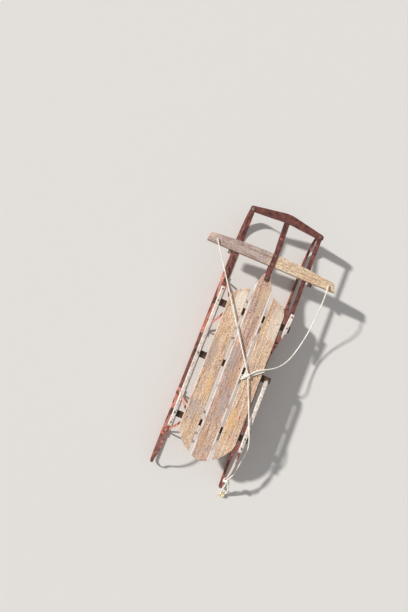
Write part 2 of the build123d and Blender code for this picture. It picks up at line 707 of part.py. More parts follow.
def make_knot(place, radius, half_height):
    """A lump of tied rope, round in plan."""
    with BuildPart() as knot:
        with BuildSketch(Plane(origin=place, x_dir=(1, 0, 0), z_dir=(0, -1, 0))) as half:
            Rectangle(radius, 2 * half_height, align=(Align.MIN, Align.CENTER))
            fillet(half.vertices().group_by(Axis.X)[-1], min(radius, half_height) * 0.9)
        revolve(axis=Axis(place, (0, 0, 1)))
    return knot


KNOT_Z = DECK_TOP + KNOT_HALF_H + 0.3
HOLE_EXIT_Z = 174.0

# The rope's routes, from the bar's holes to the knot on the deck and on to the right rear curl
ROPE_LEFT = [(-ROPE_HOLE_X, ROPE_HOLE_Y, HOLE_EXIT_Z), (KNOT[0] - 4, KNOT[1] + 6, KNOT_Z)]
ROPE_RIGHT = [
    (261, 372, 174),
    (261, 351, 182),
    (262, 312, 182),
    (265, 264, 164),
    (268, 218, 137),
    (268, 166, 112),
    (262, 118, 100),
    (252, 76, 98),
    (239, 37, 104),
    (222, 4, 116),
    (199, -24, 134),
    (172, -46, 154),
    (142, -63, 169),
    (112, -77, 173),
    (90, -93, 172),
    (79, -109, 170),
]
ROPE_TAIL = [
    (76, -128, 170),
    (89, -158, 169),
    (105, -196, 168),
    (124, -240, 168),
    (142, -285, 169),
    (158, -325, 169),
    (174, -360, 164),
    (187, -391, 150),
    (190, -420, 136),
    (188, -448, 125),
    (186, -476, 117),
    (184, -501, 113),
    (178, -523, 114),
    (169, -539, 117),
    (162, -552, 110),
    (160, -560, 100),
]
# The doubled end that hangs from the curl's knot to the tassel on the floor
ROPE_LEGS = {
    "left": [
        (169, -566, 84),
        (170, -582, 67),
        (171, -597, 47),
        (173, -611, 27),
        (177, -620, 13),
    ],
    "right": [
        (170, -558, 90),
        (180, -567, 79),
        (188, -581, 61),
        (195, -597, 40),
        (199, -611, 23),
        (196, -620, 13),
    ],
}

for side_name, side_sign in SIDES.items():
    keep(make_side_board(side_sign, SIDE_FRONT_R[side_name]), f"board_{side_name}")
    keep(make_runner(side_sign), f"runner_{side_name}")
    keep(make_rear_curl(side_sign), f"rear_curl_{side_name}")
    keep(make_side_strap(side_sign), f"side_strap_{side_name}")
    keep(make_guide(side_sign), f"guide_bolt_{side_name}")
    keep(make_rope_stub(side_sign), f"rope_stub_{side_name}")
    corner_bolt = make_bolt(
        (side_sign * TRACK_X, CORNER_Y), CORNER_SHAFT_R, DECK_BASE + STRAP_T, STRAP_BASE - FLANGE_T
    )
    keep(corner_bolt, f"corner_bolt_{side_name}")
    for knee_place in KNEE_SPREAD:
        keep(make_knee(knee_place, side_sign), f"knee_{knee_place}_{side_name}")

for bench_place in BENCH_Y:
    keep(make_bench(bench_place), f"bench_{bench_place}")

keep(make_centre_board(), "board_centre")
keep(make_rail(SIDES["left"], RAIL_FRONT_Y, RAIL_REAR_Y), "side_rail_left")
keep(make_splintered_stub(SIDES["right"]), "side_rail_right_front")
keep(make_rail(SIDES["right"], BROKEN_START_Y, RAIL_REAR_Y), "side_rail_right_rear")
keep(make_bumper(), "bumper")
keep(make_centre_strap(), "centre_strap")
keep(make_yoke_plate(), "yoke_plate")
pivot_head_base = TAIL_MID + STRAP_T / 2 + SLIDE_GAP
keep(make_bolt((0, PIVOT_Y), PIVOT_R, pivot_head_base, YOKE_BASE - SLIDE_GAP), "pivot_bolt")
for rivet_place, rivet_setout in RIVET_SETOUTS.items():
    keep(make_bar_rivet(rivet_setout), f"bar_rivet_{rivet_place}")
keep(make_steering_bar(), "steering_bar")
keep(make_tube(ROPE_LEFT, "rope_left"), "rope_left")
keep(make_tube(ROPE_RIGHT, "rope_right"), "rope_right")
keep(make_tube(ROPE_TAIL, "rope_tail"), "rope_tail")
for leg_name, leg_route in ROPE_LEGS.items():
    keep(make_tube(leg_route, f"rope_leg_{leg_name}"), f"rope_leg_{leg_name}")
keep(make_wrap(0), "rope_wrap_front")
keep(make_wrap(WRAP_SPACING), "rope_wrap_rear")
keep(make_knot((*KNOT, KNOT_Z), KNOT_R, KNOT_HALF_H), "rope_knot")
keep(make_knot(CURL_KNOT, CURL_KNOT_R, CURL_KNOT_HALF_H), "rope_curl_knot")
keep(make_knot(TASSEL, TASSEL_R, TASSEL_HALF_H), "rope_tassel")
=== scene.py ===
"""A child's steerable runner sled in weathered wood, rusty steel and knotted cotton rope."""

import logging
import math
import random
from collections.abc import Sequence
from dataclasses import dataclass
from enum import Enum

import bmesh
import bpy
from mathutils import Matrix, Vector


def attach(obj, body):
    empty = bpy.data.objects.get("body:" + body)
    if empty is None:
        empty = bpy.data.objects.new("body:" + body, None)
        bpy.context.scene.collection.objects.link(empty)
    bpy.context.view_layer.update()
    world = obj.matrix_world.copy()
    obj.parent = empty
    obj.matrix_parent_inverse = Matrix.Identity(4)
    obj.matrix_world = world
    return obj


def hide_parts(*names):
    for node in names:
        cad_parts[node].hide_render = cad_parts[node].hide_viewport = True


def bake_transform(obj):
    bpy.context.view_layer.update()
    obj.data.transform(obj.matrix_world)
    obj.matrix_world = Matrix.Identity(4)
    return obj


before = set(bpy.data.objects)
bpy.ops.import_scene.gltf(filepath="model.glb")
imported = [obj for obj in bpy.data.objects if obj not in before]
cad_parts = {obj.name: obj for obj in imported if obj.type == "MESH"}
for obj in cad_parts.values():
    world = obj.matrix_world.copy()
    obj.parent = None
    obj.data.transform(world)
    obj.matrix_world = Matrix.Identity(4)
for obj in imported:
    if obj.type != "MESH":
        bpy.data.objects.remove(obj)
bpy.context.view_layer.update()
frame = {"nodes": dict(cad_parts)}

MM = 0.001
BENCHES = {"front": 0.133, "middle": -0.103, "rear": -0.370}
SIDES = {"left": -1, "right": 1}
TRACK_X = 0.160
DECK_TOP = 0.160
KNOT_POINTS = 90
TURN_POINTS = 32
LEAST_RESOLUTION = 4

log = logging.getLogger("sled")

Rgb = tuple[int, int, int]
Point = tuple[float, float, float]
Stop = tuple[float, Rgb]
Socket = bpy.types.NodeSocket


def linear(colour: Rgb) -> tuple[float, float, float, float]:
    """Turn a colour of 0 to 255 a channel into the linear values that a shader takes.

    Args:
        colour: Red, green and blue.

    Returns:
        The linear colour with full opacity.
    """
    shares = [channel / 255 for channel in colour]
    red, green, blue = (s / 12.92 if s <= 0.04045 else ((s + 0.055) / 1.055) ** 2.4 for s in shares)
    return red, green, blue, 1.0


class Body(Enum):
    """The bodies that the sled's pieces ride on."""

    FRAME = "frame"
    STEERING = "steering"


class Slot(Enum):
    """The names of material slots that added pieces are passed with."""

    STEEL = "rusty_steel"
    RAIL = "rail_wood"
    ROPE = "rope"


class Stretch(Enum):
    """How a pattern is scaled along X, Y and Z: long patches where the scale is small."""

    ALONG = (1.0, 0.045, 1.0)
    ACROSS = (0.045, 1.0, 1.0)
    EVEN = (1.0, 1.0, 1.0)
    CHIPS = (1.0, 0.25, 1.0)
    FLAKES = (1.0, 0.5, 1.0)


class Pattern(Enum):
    """The finishes' noise patterns.

    Each has the size of its largest patches in metres, the number of its finer layers, how strong these
    are, and how far the pattern is bent.
    """

    STRANDS = (0.013, 5.0, 0.62, 0.4)
    RINGS = (0.0052, 2.0, 0.5, 1.2)
    PATCHES = (0.075, 4.0, 0.6, 0.0)
    GLOW = (0.045, 4.0, 0.6, 0.0)
    FIBRES = (0.0016, 3.0, 0.7, 0.0)
    WEATHERING = (0.005, 3.0, 0.6, 0.0)
    GRIME = (0.02, 6.0, 0.7, 0.0)
    SPECKS = (0.0022, 2.0, 0.5, 0.0)
    SPLITS = (0.021, 1.0, 0.4, 0.2)
    CHIPS = (0.012, 4.0, 0.6, 0.0)
    STAIN_EDGE = (0.006, 3.0, 0.55, 0.0)
    CLOUD = (0.022, 6.0, 0.65, 0.0)
    PITS = (0.0026, 4.0, 0.7, 0.0)
    FLAKES = (0.03, 8.0, 0.68, 0.0)
    FADING = (0.05, 3.0, 0.55, 0.0)
    STEEL_SPOT_EDGE = (0.005, 3.0, 0.55, 0.0)
    SOILING = (0.03, 5.0, 0.65, 0.0)
    YARNS = (0.0011, 3.0, 0.6, 0.0)

    @property
    def inputs(self) -> dict[str, float]:
        """Return what a noise node's inputs are set to."""
        size, detail, roughness, distortion = self.value
        return {"Scale": 1.0 / size, "Detail": detail, "Roughness": roughness, "Distortion": distortion}


# What a pattern multiplies a colour by, where it is low and where it is high
FIBRE_TONES: tuple[Stop, Stop] = ((0.34, (158, 148, 140)), (0.54, (255, 253, 250)))
WEATHER_TONES: tuple[Stop, Stop] = ((0.36, (172, 152, 140)), (0.56, (255, 252, 248)))
PIT_TONES: tuple[Stop, Stop] = ((0.32, (142, 132, 128)), (0.66, (255, 250, 246)))
YARN_TONES: tuple[Stop, Stop] = ((0.3, (220, 214, 204)), (0.55, (255, 255, 253)))

SPECK: Rgb = (84, 70, 62)
OPEN_SPLIT: Rgb = (58, 46, 40)
# Pale edge colour: wear, with a painted highlight of sunlit edges
WORN_AND_LIT_EDGE: Rgb = (255, 248, 240)
BLOOMED_PAINT: Rgb = (226, 166, 152)
BARE_STEEL: Rgb = (150, 140, 134)
CHALKY: Rgb = (255, 242, 228)
GREYED: Rgb = (168, 156, 156)
HONEY: Rgb = (240, 190, 132)
WARM: dict[str, Rgb] = {
    "pale": (255, 240, 218),
    "mid": (255, 220, 190),
    "dark": (190, 150, 122),
    "bleached": (226, 208, 198),
}
RED_RUST: dict[str, Rgb] = {
    "deep": (112, 68, 62),
    "brown": (160, 102, 92),
    "bright": (196, 132, 118),
    "paint": (204, 132, 116),
}


@dataclass(frozen=True)
class Spot:
    """A spot of colour: its middle and its half lengths in metres, and how fully it covers."""

    place: Point
    reach: Point
    colour: Rgb
    cover: float = 1.0


class Tree:
    """Shader nodes, added and joined by short calls."""

    def __init__(self, owner: bpy.types.Material | bpy.types.World) -> None:
        """Start with no nodes.

        Args:
            owner: The material or world that they belong to.
        """
        owner.use_nodes = True
        self.tree = owner.node_tree
        self.tree.nodes.clear()

    def feed(self, target: Socket, value: object) -> None:
        """Give a socket a link, a colour or a number.

        Args:
            target: The socket to set.
            value: A socket to link from, a colour as a tuple of 0 to 255, or the socket's own value.
        """
        if isinstance(value, bpy.types.NodeSocket):
            self.tree.links.new(value, target)
        elif isinstance(value, tuple) and target.type == "RGBA":
            target.default_value = linear(value)
        else:
            target.default_value = value

    def add(self, kind: str, inputs: dict, output: str | int, **settings: str) -> Socket:
        """Add a node.

        Args:
            kind: The node's type.
            inputs: What each of its inputs is fed, by the input's name or number.
            output: The name or number of the output that is wanted.
            settings: The node's other settings.

        Returns:
            The output.
        """
        node = self.tree.nodes.new(f"ShaderNode{kind}")
        for name, value in settings.items():
            setattr(node, name, value)
        for name, value in inputs.items():
            self.feed(node.inputs[name], value)
        return node.outputs[output]

    def end(self, kind: str, surface: Socket) -> None:
        """Add the output node and feed it the surface."""
        self.feed(self.tree.nodes.new(f"ShaderNodeOutput{kind}").inputs["Surface"], surface)


class Nodes(Tree):
    """One material's shader nodes."""

    def __init__(self, name: str) -> None:
        """Start a material with a Principled shader.

        Args:
            name: The material's name.
        """
        self.material = bpy.data.materials.new(name)
        super().__init__(self.material)
        self.shader = self.tree.nodes.new("ShaderNodeBsdfPrincipled")
        self.end("Material", self.shader.outputs["BSDF"])
        self.place = self.tree.nodes.new("ShaderNodeTexCoord").outputs["Object"]

    def mapped(self, scale: Sequence[float], shift: Sequence[float]) -> Socket:
        """Return the object coordinates, scaled and then moved."""
        return self.add("Mapping", {"Vector": self.place, "Scale": scale, "Location": shift}, "Vector")

    def noise(self, place: Socket, pattern: Pattern) -> Socket:
        """Return a noise pattern on the coordinates that it reads, about 0.5 on average."""
        return self.add("TexNoise", {"Vector": place} | pattern.inputs, "Fac")

    def mask(self, value: Socket, start: float, full: float) -> Socket:
        """Return a smooth mask that is 0 where a value is at start and 1 where it is at full."""
        inputs = {"Value": value, "From Min": start, "From Max": full}
        return self.add("MapRange", inputs, "Result", interpolation_type="SMOOTHSTEP")

    def math(self, operation: str, first: object, second: object) -> Socket:
        """Return the result of a Math node's operation on two values."""
        return self.add("Math", {0: first, 1: second}, "Value", operation=operation)

    def times(self, first: object, second: object) -> Socket:
        """Return the product of two values."""
        return self.math("MULTIPLY", first, second)

    def away(self, value: Socket, centre: float) -> Socket:
        """Return how far a value is from a centre, on either side."""
        return self.math("ABSOLUTE", self.math("SUBTRACT", value, centre), 0.0)

    def along(self, axis: str) -> Socket:
        """Return one of the object coordinates, "X", "Y" or "Z"."""
        return self.add("SeparateXYZ", {"Vector": self.place}, axis)

    def ramp(self, value: Socket, *stops: Stop) -> Socket:
        """Turn a pattern into colours.

        Args:
            value: The pattern.
            stops: Each colour and the value that it stands at.

        Returns:
            The colour.
        """
        node = self.tree.nodes.new("ShaderNodeValToRGB")
        self.feed(node.inputs["Fac"], value)
        elements = node.color_ramp.elements
        while len(elements) < len(stops):
            elements.new(0.5)
        for element, (place, colour) in zip(elements, stops):
            element.position = place
            element.color = linear(colour)
        return node.outputs["Color"]

    def mix(self, mask: object, under: object, over: object, blend: str = "MIX") -> Socket:
        """Return a colour with another laid over it where a mask is."""
        return self.add("Mix", {0: mask, 6: under, 7: over}, 2, data_type="RGBA", blend_type=blend)

    def lay(self, over: object, under: object, mask: Socket, share: float) -> Socket:
        """Return a colour with another over it, at a share of a mask's strength."""
        return self.mix(self.times(mask, share), under, over)

    def shade(self, colour: object, value: Socket, tones: tuple[Stop, Stop], share: float) -> Socket:
        """Return a colour multiplied by the tones of a pattern, at a share of their strength."""
        return self.mix(share, colour, self.ramp(value, *tones), "MULTIPLY")

    def spotted(self, colour: object, spots: Sequence[Spot], ragged: float, edge: Pattern) -> object:
        """Lay ragged spots over a colour.

        Args:
            colour: The colour under them.
            spots: The spots.
            ragged: How far their edges wander, as a share of their reach.
            edge: The pattern of their edges.

        Returns:
            The stained colour.
        """
        for spot in spots:
            middle = tuple(-p / r for p, r in zip(spot.place, spot.reach))
            local = self.mapped(tuple(1 / r for r in spot.reach), middle)
            distance = self.add("VectorMath", {0: local}, "Value", operation="LENGTH")
            wander = self.times(self.noise(self.place, edge), ragged)
            blot = self.mask(self.math("ADD", distance, wander), start=1.15, full=0.85)
            colour = self.lay(spot.colour, colour, blot, spot.cover)
        return colour

    def bump(self, height: Socket, depth: float) -> None:
        """Raise the surface where a pattern is high, by depth in metres."""
        normal = self.add("Bump", {"Distance": depth, "Height": height}, "Normal")
        self.feed(self.shader.inputs["Normal"], normal)

    def surface(self, colour: object, roughness: object) -> None:
        """Set the shader's colour and roughness."""
        self.feed(self.shader.inputs["Base Color"], colour)
        self.feed(self.shader.inputs["Roughness"], roughness)


@dataclass(frozen=True)
class Wood:
    """Bare wood that has stood in the weather: grain, splits, grey patches and dirt.

    Bleaching, rings and tanning say how strong each of these is. The left half's colour is multiplied by
    left_tone, and edges are the places along X where the long edges are worn and carry a painted highlight.
    """

    name: str
    grain: Stretch
    pale: Rgb
    mid: Rgb
    dark: Rgb
    bleached: Rgb
    bleaching: float = 0.5
    seed: float = 0.0
    rings: float = 0.35
    tan: Rgb = (244, 204, 156)
    tanning: float = 0.5
    left_tone: Rgb | None = None
    edges: tuple[float, ...] = ()
    spots: tuple[Spot, ...] = ()

    def build(self) -> bpy.types.Material:
        """Make the material.

        Returns:
            The material.
        """
        nodes = Nodes(self.name)
        grained = self.grained(nodes)
        strands = nodes.noise(grained, Pattern.STRANDS)
        rings = nodes.noise(grained, Pattern.RINGS)
        patches = nodes.noise(nodes.mapped(Stretch.EVEN.value, 3 * (self.seed + 3,)), Pattern.PATCHES)
        glow = nodes.noise(self.grained(nodes, evening=0.4, shift=7), Pattern.GLOW)
        colour = nodes.ramp(strands, (0.30, self.dark), (0.46, self.mid), (0.64, self.pale))
        colour = nodes.lay(self.dark, colour, nodes.mask(rings, start=0.48, full=0.62), self.rings)
        bleach = nodes.mask(patches, start=0.46, full=0.66)
        colour = nodes.lay(self.bleached, colour, bleach, self.bleaching)
        colour = nodes.lay(self.tan, colour, nodes.mask(glow, start=0.50, full=0.66), self.tanning)
        if self.left_tone:
            left = nodes.mask(nodes.along("X"), start=0.03, full=-0.05)
            colour = nodes.mix(left, colour, nodes.mix(1.0, colour, self.left_tone, "MULTIPLY"))
        fibres = nodes.noise(grained, Pattern.FIBRES)
        weathering = nodes.noise(self.grained(nodes, evening=0.6), Pattern.WEATHERING)
        grime = nodes.noise(self.grained(nodes, evening=0.3), Pattern.GRIME)
        specks = nodes.noise(nodes.place, Pattern.SPECKS)
        colour = nodes.shade(colour, fibres, FIBRE_TONES, share=0.85)
        colour = nodes.shade(colour, weathering, WEATHER_TONES, share=0.7)
        colour = nodes.lay(self.dark, colour, nodes.mask(grime, start=0.56, full=0.72), share=0.55)
        colour = nodes.lay(SPECK, colour, nodes.mask(specks, start=0.66, full=0.74), share=0.25)
        split_lines = nodes.away(nodes.noise(grained, Pattern.SPLITS), 0.5)
        lines = nodes.mask(split_lines, start=0.0045, full=0.001125)
        splits = nodes.times(lines, nodes.mask(patches, start=0.50, full=0.56))
        colour = nodes.lay(OPEN_SPLIT, colour, splits, share=0.8)
        # Pale chipped colour along the long edges: wear, with a painted highlight of the sunlit edges
        if self.edges:
            chipping = nodes.noise(nodes.mapped(Stretch.CHIPS.value, 3 * (self.seed,)), Pattern.CHIPS)
            chips = nodes.mask(chipping, start=0.32, full=0.50)
        for edge in self.edges:
            beside = nodes.mask(nodes.away(nodes.along("X"), edge), start=5.5 * MM, full=1.5 * MM)
            colour = nodes.lay(WORN_AND_LIT_EDGE, colour, nodes.times(beside, chips), share=0.75)
        colour = nodes.spotted(colour, self.spots, ragged=0.9, edge=Pattern.STAIN_EDGE)
        nodes.surface(colour, roughness=nodes.mask(fibres, start=-1.2, full=0.75))
        nodes.bump(nodes.math("SUBTRACT", nodes.times(fibres, 0.6), splits), depth=0.6 * MM)
        return nodes.material

    def grained(self, nodes: Nodes, evening: float = 0.0, shift: float = 0.0) -> Socket:
        """Return coordinates stretched along the grain, evened out by a share and shifted past the seed."""
        scale = tuple(evening + (1 - evening) * axis for axis in self.grain.value)
        return nodes.mapped(scale, 3 * (self.seed + shift,))


@dataclass(frozen=True)
class Steel:
    """Flat steel that has rusted, with what is left of its paint.

    Painted says how much of the paint is left. A worn sole is rubbed bare over its lowest millimetres.
    """

    name: str
    deep: Rgb = (66, 44, 42)
    brown: Rgb = (118, 80, 74)
    bright: Rgb = (156, 104, 84)
    paint: Rgb = (206, 128, 112)
    painted: float = 0.0
    worn_sole: bool = False
    seed: float = 0.0
    spots: tuple[Spot, ...] = ()

    def build(self) -> bpy.types.Material:
        """Make the material.

        Returns:
            The material.
        """
        nodes = Nodes(self.name)
        place = nodes.mapped(Stretch.EVEN.value, 3 * (self.seed,))
        cloud = nodes.noise(place, Pattern.CLOUD)
        pits = nodes.noise(place, Pattern.PITS)
        colour = nodes.ramp(cloud, (0.34, self.deep), (0.50, self.brown), (0.68, self.bright))
        colour = nodes.shade(colour, pits, PIT_TONES, share=0.8)
        height = nodes.math("ADD", nodes.times(pits, 0.8), nodes.times(cloud, 0.6))
        roughness = nodes.mask(pits, start=-1.6, full=0.9)
        if self.painted:
            flaking = nodes.mapped(Stretch.FLAKES.value, 3 * (self.seed + 5,))
            # The more paint is left, the lower the values at which it starts
            edge = 0.72 - 0.44 * self.painted
            flakes = nodes.mask(nodes.noise(flaking, Pattern.FLAKES), start=edge - 0.01, full=edge + 0.03)
            fading = nodes.noise(place, Pattern.FADING)
            faded = nodes.ramp(fading, (0.35, self.paint), (0.65, BLOOMED_PAINT))
            faded = nodes.mix(nodes.mask(pits, start=0.58, full=0.72), faded, self.brown)
            colour = nodes.mix(flakes, colour, faded)
            height = nodes.math("ADD", height, nodes.times(flakes, 0.25))
        # These spots include the right curl's painted highlight
        colour = nodes.spotted(colour, self.spots, ragged=0.8, edge=Pattern.STEEL_SPOT_EDGE)
        if self.worn_sole:
            ground = nodes.math("ADD", nodes.along("Z"), nodes.times(pits, 3 * MM))
            bare = nodes.mask(ground, start=4 * MM, full=2 * MM)
            colour = nodes.mix(bare, colour, BARE_STEEL)
            nodes.feed(nodes.shader.inputs["Metallic"], nodes.times(bare, 0.7))
            roughness = nodes.math("SUBTRACT", roughness, nodes.times(bare, 0.35))
        nodes.surface(colour, roughness)
        nodes.bump(height, depth=0.5 * MM)
        return nodes.material


@dataclass(frozen=True)
class Cotton:
    """Matt cotton rope, off-white and a little dirty."""

    name: str
    clean: Rgb = (255, 253, 246)
    soiled: Rgb = (232, 222, 204)

    def build(self) -> bpy.types.Material:
        """Make the material.

        Returns:
            The material.
        """
        nodes = Nodes(self.name)
        yarns = nodes.noise(nodes.place, Pattern.YARNS)
        soiling = nodes.noise(nodes.place, Pattern.SOILING)
        colour = nodes.ramp(soiling, (0.36, self.soiled), (0.56, self.clean))
        nodes.surface(nodes.shade(colour, yarns, YARN_TONES, share=0.6), roughness=0.93)
        nodes.shader.inputs["Sheen Weight"].default_value = 0.25
        nodes.shader.inputs["Sheen Roughness"].default_value = 0.6
        nodes.bump(yarns, depth=0.35 * MM)
        return nodes.material


@dataclass(frozen=True)
class Plaster:
    """The floor's plain pale finish."""

    name: str
    tone: Rgb = (226, 223, 219)

    def build(self) -> bpy.types.Material:
        """Make the material.

        Returns:
            The material.
        """
        nodes = Nodes(self.name)
        nodes.surface(self.tone, roughness=0.9)
        return nodes.material


class Finish(Enum):
    """Every finish on the sled, and the floor's."""

    BOARD_LEFT = Wood(
        "wood_board_left", Stretch.ALONG, seed=0.7, bleaching=0.55, edges=(-0.1258, -0.0438),
        spots=(
            Spot((-0.070, 0.160, DECK_TOP), (0.050, 0.110, 0.02), CHALKY, 0.55),
            Spot((-0.108, -0.080, DECK_TOP), (0.036, 0.120, 0.02), GREYED, 0.45),
            Spot((-0.096, -0.330, DECK_TOP), (0.030, 0.090, 0.02), GREYED, 0.40),
            Spot((-0.070, -0.210, DECK_TOP), (0.022, 0.080, 0.02), HONEY, 0.45),
        ),
        **WARM,
    )
    BOARD_CENTRE = Wood(
        "wood_board_centre", Stretch.ALONG, pale=(255, 228, 208), mid=(234, 198, 180),
        dark=(152, 120, 110), bleached=(210, 186, 182), bleaching=0.7, tanning=0.3,
        edges=(-0.0323, 0.0413), seed=1.9,
        spots=(
            Spot((0.016, 0.190, DECK_TOP), (0.026, 0.130, 0.02), (224, 198, 160), 0.5),
            Spot((-0.012, -0.070, DECK_TOP), (0.026, 0.110, 0.02), GREYED, 0.55),
            Spot((0.014, -0.250, DECK_TOP), (0.030, 0.110, 0.02), GREYED, 0.5),
            Spot((-0.008, -0.440, DECK_TOP), (0.024, 0.080, 0.02), (206, 168, 128), 0.45),
        ),
    )
    BOARD_RIGHT = Wood(
        "wood_board_right", Stretch.ALONG, seed=3.1, edges=(0.0528, 0.1348),
        spots=(
            Spot((0.104, 0.130, DECK_TOP), (0.050, 0.130, 0.02), CHALKY, 0.35),
            Spot((0.078, -0.330, DECK_TOP), (0.030, 0.110, 0.02), HONEY, 0.4),
            Spot((0.104, -0.295, DECK_TOP), (0.0044, 0.016, 0.01), (200, 78, 60), 0.85),
            Spot((0.092, -0.383, DECK_TOP), (0.0050, 0.013, 0.01), (206, 70, 58), 0.85),
        ),
        **WARM,
    )
    RAIL = Wood(
        "wood_rail", Stretch.ALONG, pale=(255, 253, 248), mid=(255, 250, 246), dark=(230, 214, 208),
        bleached=(255, 250, 248), tanning=0.05, seed=4.3, rings=0.2,
    )
    # Bench wood made nearly black: painted shade for the shade that falls under the deck
    BENCH_IN_SHADE = Wood(
        "wood_bench_painted_shade", Stretch.ACROSS, pale=(102, 80, 66), mid=(72, 56, 48), dark=(44, 36, 34),
        bleached=(98, 82, 74), bleaching=0.3, tan=(118, 84, 60), tanning=0.3, seed=5.9,
    )
    BAR = Wood(
        "wood_bar", Stretch.ACROSS, pale=(255, 242, 218), mid=(255, 226, 194), dark=(188, 150, 122),
        bleached=(248, 226, 206), seed=7.2, rings=0.25, left_tone=(216, 220, 246),
        spots=(
            Spot((-0.288, 0.392, 0.167), (0.030, 0.040, 0.03), (232, 198, 176), 0.6),
            Spot((-0.120, 0.380, 0.167), (0.090, 0.016, 0.03), (206, 186, 172), 0.4),
        ),
    )
    SPLINTER = Wood(
        "wood_splinter", Stretch.ALONG, pale=(244, 228, 204), mid=(228, 204, 174),
        dark=(184, 152, 122), bleached=(232, 220, 204), seed=8.8, rings=0.2,
    )
    RUNNER = Steel("steel_runner", painted=0.25, worn_sole=True, seed=0.4, **RED_RUST)
    CURL_RIGHT = Steel(
        "steel_curl_right", painted=0.25, seed=1.3,
        # The pale patch on this curl is a painted highlight of its sunlit strip, partly worn pale steel
        spots=(Spot((0.1560, -0.500, 0.118), (0.0140, 0.100, 0.070), (240, 224, 214)),),
        **RED_RUST,
    )
    KNEE = Steel("steel_knee", painted=0.72, paint=(218, 128, 108), seed=2.2)
    STRAP = Steel(
        "steel_strap", deep=(68, 38, 36), brown=(122, 72, 66), bright=(174, 110, 96), painted=0.05, seed=3.6
    )
    CENTRE_STRAP = Steel(
        "steel_centre_strap", deep=(72, 42, 40), brown=(124, 76, 70), bright=(170, 112, 100),
        painted=0.05, seed=4.9,
        spots=(Spot((-0.005, 0.484, 0.155), (0.010, 0.007, 0.02), (206, 100, 94)),),
    )
    BUMPER = Steel(
        "steel_bumper", deep=(74, 42, 38), brown=(124, 76, 70), bright=(158, 98, 86), painted=0.04, seed=6.1
    )
    FASTENER = Steel("steel_fastener", deep=(86, 66, 60), brown=(132, 106, 96), bright=(196, 178, 168))
    ROPE = Cotton("rope_cotton")
    FRAYED = Cotton("rope_frayed", clean=(250, 238, 200), soiled=(216, 196, 148))
    FLOOR = Plaster("floor_pale")


def placed(name: str, data: bpy.types.ID) -> bpy.types.Object:
    """Put a new object into the scene.

    Args:
        name: The object's name.
        data: Its mesh, curve, lamp or camera.

    Returns:
        The object.
    """
    thing = bpy.data.objects.new(name, data)
    bpy.context.scene.collection.objects.link(thing)
    return thing


def turned(angle: float, axis: str) -> Matrix:
    """Return a turn by an angle in radians about "X", "Y" or "Z"."""
    return Matrix.Rotation(angle, 3, axis)


def beside(place: Point, *shift: float) -> Vector:
    """Return the point that lies so many millimetres along X, Y and Z from a place."""
    return Vector([start + step * MM for start, step in zip(place, shift)])


def smooth(mesh: bpy.types.Mesh) -> None:
    """Shade a mesh smoothly."""
    mesh.polygons.foreach_set("use_smooth", [True] * len(mesh.polygons))


def finished_mesh(shape: bmesh.types.BMesh, name: str) -> bpy.types.Mesh:
    """Turn a bmesh into a mesh and free it.

    Args:
        shape: The bmesh.
        name: The mesh's name.

    Returns:
        The mesh, shaded smoothly.
    """
    mesh = bpy.data.meshes.new(name)
    shape.to_mesh(mesh)
    shape.free()
    smooth(mesh)
    return mesh


def mesh_of(curve: bpy.types.Curve, name: str) -> bpy.types.Mesh:
    """Turn a curve into a mesh and remove the curve.

    Args:
        curve: The curve.
        name: The mesh's name.

    Returns:
        The mesh, shaded smoothly.
    """
    holder = placed(name, curve)
    bpy.context.view_layer.update()
    graph = bpy.context.evaluated_depsgraph_get()
    mesh = bpy.data.meshes.new_from_object(holder.evaluated_get(graph))
    bpy.data.objects.remove(holder)
    bpy.data.curves.remove(curve)
    mesh.name = name
    smooth(mesh)
    return mesh


def swept_mesh(
    name: str, lines: Sequence[Sequence[Vector]], radius: float, ends: float = 1.0, sides: int = 2
) -> bpy.types.Mesh:
    """Sweep a round section along lines of points.

    Args:
        name: The mesh's name.
        lines: The points of each line.
        radius: The section's radius at each line's start.
        ends: The section's radius at each line's end, as a share of that at its start.
        sides: How finely the section is divided.

    Returns:
        The tubes as one mesh, with closed ends.
    """
    curve = bpy.data.curves.new(name, "CURVE")
    curve.dimensions = "3D"
    curve.bevel_depth = radius
    curve.bevel_resolution = sides
    curve.use_fill_caps = True
    for line in lines:
        spline = curve.splines.new("POLY")
        spline.points.add(len(line) - 1)
        for index, (point, here) in enumerate(zip(spline.points, line)):
            point.co = (*here, 1.0)
            point.radius = 1.0 + (ends - 1.0) * index / (len(line) - 1)
    return mesh_of(curve, name)


def route_points(route: Sequence[Point], step: float) -> list[Vector]:
    """Read points from the smooth spline that a route's points control.

    Args:
        route: The route's points, in metres.
        step: About how far apart the points are.

    Returns:
        The points along the spline.
    """
    curve = bpy.data.curves.new("route", "CURVE")
    curve.dimensions = "3D"
    spline = curve.splines.new("NURBS")
    spline.points.add(len(route) - 1)
    for point, here in zip(spline.points, route):
        point.co = (*here, 1.0)
    spline.order_u = 3
    spline.use_endpoint_u = True
    run = sum((Vector(b) - Vector(a)).length for a, b in zip(route, route[1:]))
    spans = max(1, len(route) - 2)
    spline.resolution_u = max(LEAST_RESOLUTION, round(run / spans / step))
    mesh = mesh_of(curve, "route")
    points = [vertex.co.copy() for vertex in mesh.vertices]
    bpy.data.meshes.remove(mesh)
    return points


@dataclass(frozen=True)
class Head:
    """The low round head of a nail, bolt or rivet, which stands on its place or hangs from it."""

    radius: float
    height: float
    hangs: bool = False

    def add_to(self, shape: bmesh.types.BMesh, place: Point) -> None:
        """Add the head to a bmesh.

        Args:
            shape: The bmesh.
            place: The middle of the head's base.
        """
        made = bmesh.ops.create_uvsphere(shape, u_segments=14, v_segments=8, radius=self.radius)["verts"]
        bmesh.ops.scale(shape, verts=made, vec=(1.0, 1.0, self.height / self.radius))
        if self.hangs:
            bmesh.ops.rotate(shape, verts=made, matrix=turned(math.pi, "X"))
        bmesh.ops.translate(shape, verts=made, vec=place)


